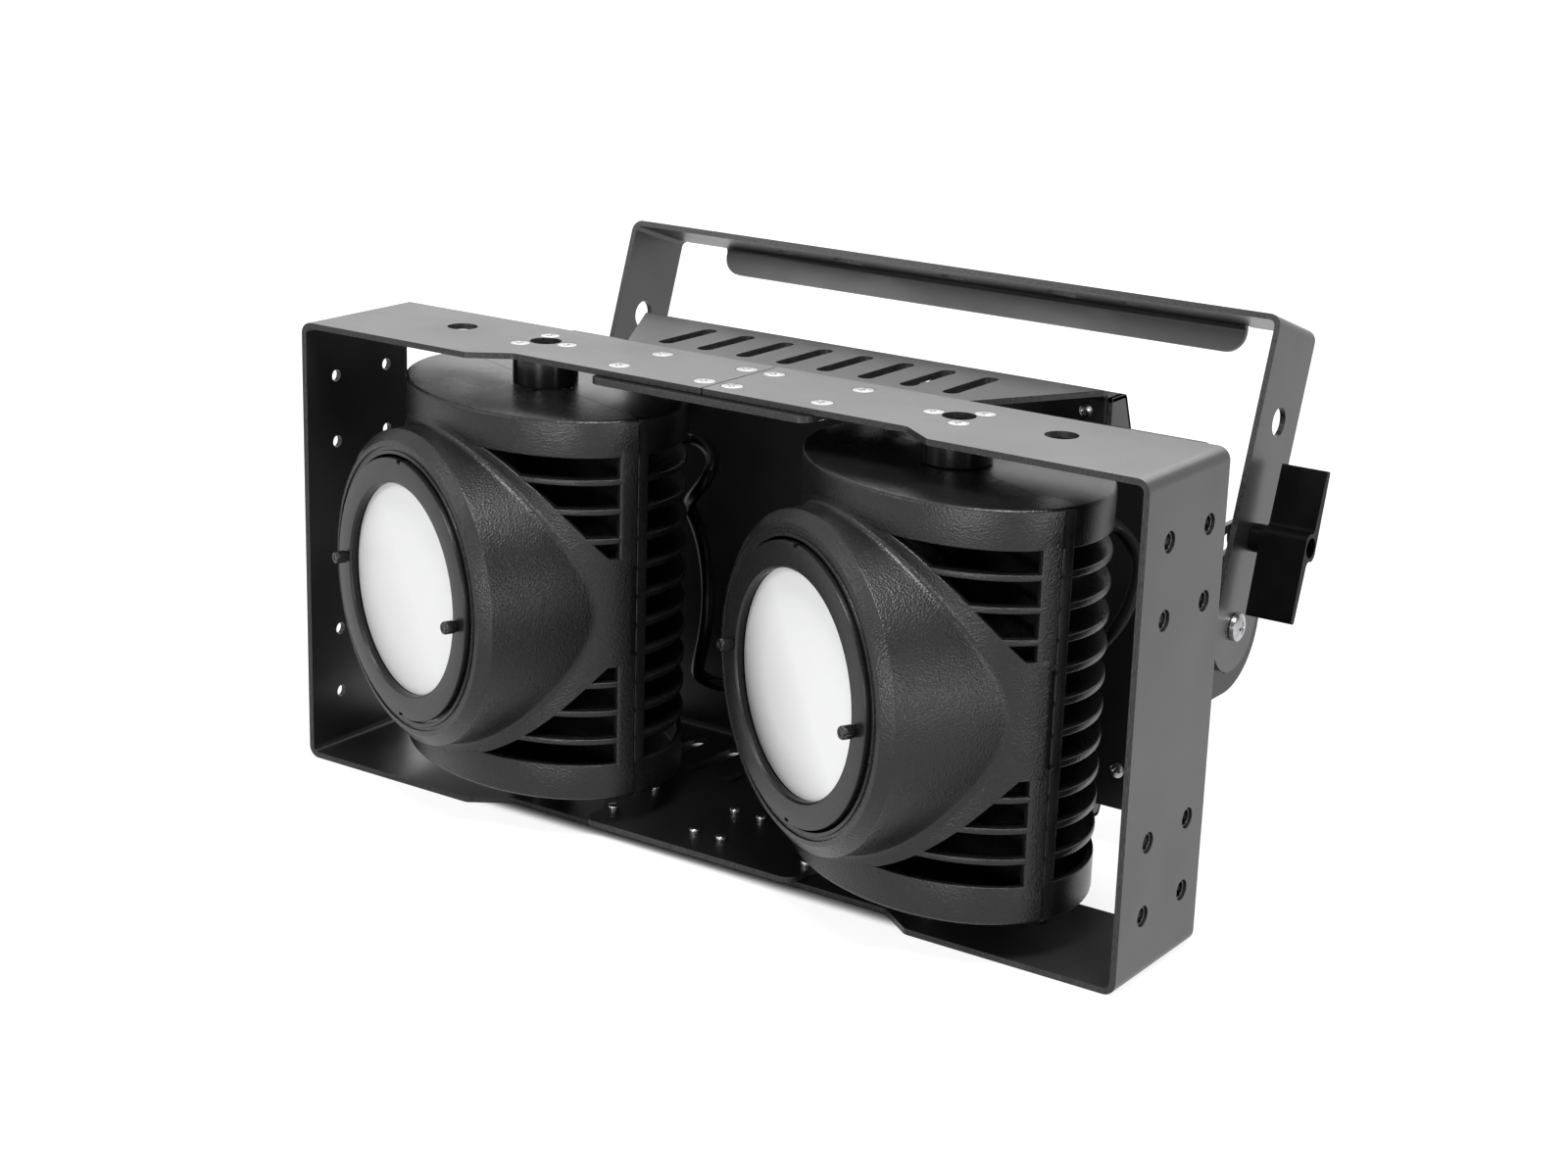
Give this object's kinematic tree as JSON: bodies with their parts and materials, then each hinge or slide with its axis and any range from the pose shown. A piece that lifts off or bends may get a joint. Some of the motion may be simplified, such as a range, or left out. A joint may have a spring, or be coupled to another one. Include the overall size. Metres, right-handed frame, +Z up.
{
  "type": "audience blinder",
  "caption": "Twin-head stage blinder: frosted lamp heads swivel in a black folded frame that hangs from a tilting yoke with wing knobs.",
  "frame": {"origin": "on the surface that the frame stands on, under the middle of the whole object's box", "axes": "+X to the right as seen from the lenses' side, +Y to the back, away from the audience, +Z up"},
  "size_m": [0.42, 0.2826, 0.2315],
  "materials": {
    "frame_coat": "fine satin black powder coat",
    "chassis_coat": "fine satin black powder coat",
    "cover_coat": "fine satin black powder coat",
    "yoke_coat": "fine satin black powder coat",
    "cast_shell": "grained black paint on cast aluminium",
    "cast_sink": "grained black paint on cast aluminium",
    "turned_black": "smooth black anodised",
    "lens": "frosted white",
    "reflector": "polished",
    "led": "yellow phosphor on a bare metal carrier",
    "zinc": "bright zinc plate",
    "black_steel": "black oxide",
    "knob": "matt black",
    "button": "matt black",
    "connector_blue": "satin blue",
    "connector_grey": "satin grey",
    "connector_black": "satin black",
    "rubber": "matt black",
    "lead": "glossy black sleeve",
    "supply": "bare folded sheet",
    "board": "green solder mask",
    "display": "smoked, glossy"
  },
  "bodies": {
    "housing": {"frame_half_left": "frame_coat", "frame_half_right": "frame_coat", "rear_chassis": "chassis_coat", "safety_eye": "zinc", "safety_eye_nut": "zinc", "left_lead_grommet": "rubber", "right_lead_grommet": "rubber", "electronics_cover": "cover_coat", "power_supply": "supply", "driver_board": "board", "control_board": "board", "display_window": "display", "power_inlet": "connector_blue", "power_outlet": "connector_grey", "data_inlet": "connector_black", "data_outlet": "connector_black", "fuse_holder": "knob", "left_pivot_screw": "zinc", "right_pivot_screw": "zinc", "left_pivot_nut": "zinc", "right_pivot_nut": "zinc", "left_top_boss": "turned_black", "left_bottom_boss": "turned_black", "right_top_boss": "turned_black", "right_bottom_boss": "turned_black", "left_lock_screw": "black_steel", "right_lock_screw": "black_steel", "left_lamp_lead": "lead", "right_lamp_lead": "lead"},
    "yoke": {"yoke": "yoke_coat", "left_clamp_bolt": "black_steel", "right_clamp_bolt": "black_steel"},
    "left_wing_knob": {"left_wing_knob": "knob"},
    "right_wing_knob": {"right_wing_knob": "knob"},
    "left_head": {"left_front_shell": "cast_shell", "left_heat_sink": "cast_sink", "left_retaining_ring": "turned_black", "left_lens": "lens", "left_reflector": "reflector", "left_led_module": "led", "left_top_pan_pin": "black_steel", "left_bottom_pan_pin": "black_steel", "left_lead_gland": "knob"},
    "left_lens_thumbscrew_left": {"left_lens_thumbscrew_left": "turned_black"},
    "left_lens_thumbscrew_right": {"left_lens_thumbscrew_right": "turned_black"},
    "right_head": {"right_front_shell": "cast_shell", "right_heat_sink": "cast_sink", "right_retaining_ring": "turned_black", "right_lens": "lens", "right_reflector": "reflector", "right_led_module": "led", "right_top_pan_pin": "black_steel", "right_bottom_pan_pin": "black_steel", "right_lead_gland": "knob"},
    "right_lens_thumbscrew_left": {"right_lens_thumbscrew_left": "turned_black"},
    "right_lens_thumbscrew_right": {"right_lens_thumbscrew_right": "turned_black"},
    "menu_button": {"menu_button": "button"},
    "down_button": {"down_button": "button"},
    "up_button": {"up_button": "button"},
    "enter_button": {"enter_button": "button"}
  },
  "joints": [
    {"name": "yoke_tilt", "type": "hinge", "parent": "housing", "child": "yoke", "pos_m": [0, 0.08041, 0.1], "axis": [-1, 0, 0], "range_deg": [-48.5, 41.5]},
    {"name": "left_knob_turn", "type": "hinge", "parent": "yoke", "child": "left_wing_knob", "pos_m": [-0.1716, 0.09279, 0.13698], "axis": [-1, 0, 0], "range_deg": [0, 180]},
    {"name": "right_knob_turn", "type": "hinge", "parent": "yoke", "child": "right_wing_knob", "pos_m": [0.1716, 0.09279, 0.13698], "axis": [1, 0, 0], "range_deg": [0, 180]},
    {"name": "left_head_pan", "type": "hinge", "parent": "housing", "child": "left_head", "pos_m": [-0.1045, -0.04559, 0.102], "axis": [0, 0, 1], "range_deg": [-69.8, 110.2], "deforming": ["left_lamp_lead"]},
    {"name": "left_lens_thumbscrew_left_turn", "type": "hinge", "parent": "left_head", "child": "left_lens_thumbscrew_left", "pos_m": [-0.17595, -0.09634, 0.1046], "axis": [-0.3453, -0.9385, 0], "range_deg": [0, 360]},
    {"name": "left_lens_thumbscrew_right_turn", "type": "hinge", "parent": "left_head", "child": "left_lens_thumbscrew_right", "pos_m": [-0.08298, -0.13054, 0.0994], "axis": [-0.3453, -0.9385, 0], "range_deg": [0, 360]},
    {"name": "right_head_pan", "type": "hinge", "parent": "housing", "child": "right_head", "pos_m": [0.1045, -0.04559, 0.102], "axis": [0, 0, 1], "range_deg": [-63.3, 116.7], "deforming": ["right_lamp_lead"]},
    {"name": "right_lens_thumbscrew_left_turn", "type": "hinge", "parent": "right_head", "child": "right_lens_thumbscrew_left", "pos_m": [0.02776, -0.08792, 0.1046], "axis": [-0.4493, -0.8934, 0], "range_deg": [0, 360]},
    {"name": "right_lens_thumbscrew_right_turn", "type": "hinge", "parent": "right_head", "child": "right_lens_thumbscrew_right", "pos_m": [0.11626, -0.13243, 0.0994], "axis": [-0.4493, -0.8934, 0], "range_deg": [0, 360]},
    {"name": "menu_button_press", "type": "slide", "parent": "housing", "child": "menu_button", "axis": [0, -1, 0], "range_m": [0, 0.001], "stiffness_N_per_m": 300},
    {"name": "down_button_press", "type": "slide", "parent": "housing", "child": "down_button", "axis": [0, -1, 0], "range_m": [0, 0.001], "stiffness_N_per_m": 300},
    {"name": "up_button_press", "type": "slide", "parent": "housing", "child": "up_button", "axis": [0, -1, 0], "range_m": [0, 0.001], "stiffness_N_per_m": 300},
    {"name": "enter_button_press", "type": "slide", "parent": "housing", "child": "enter_button", "axis": [0, -1, 0], "range_m": [0, 0.001], "stiffness_N_per_m": 300}
  ]
}
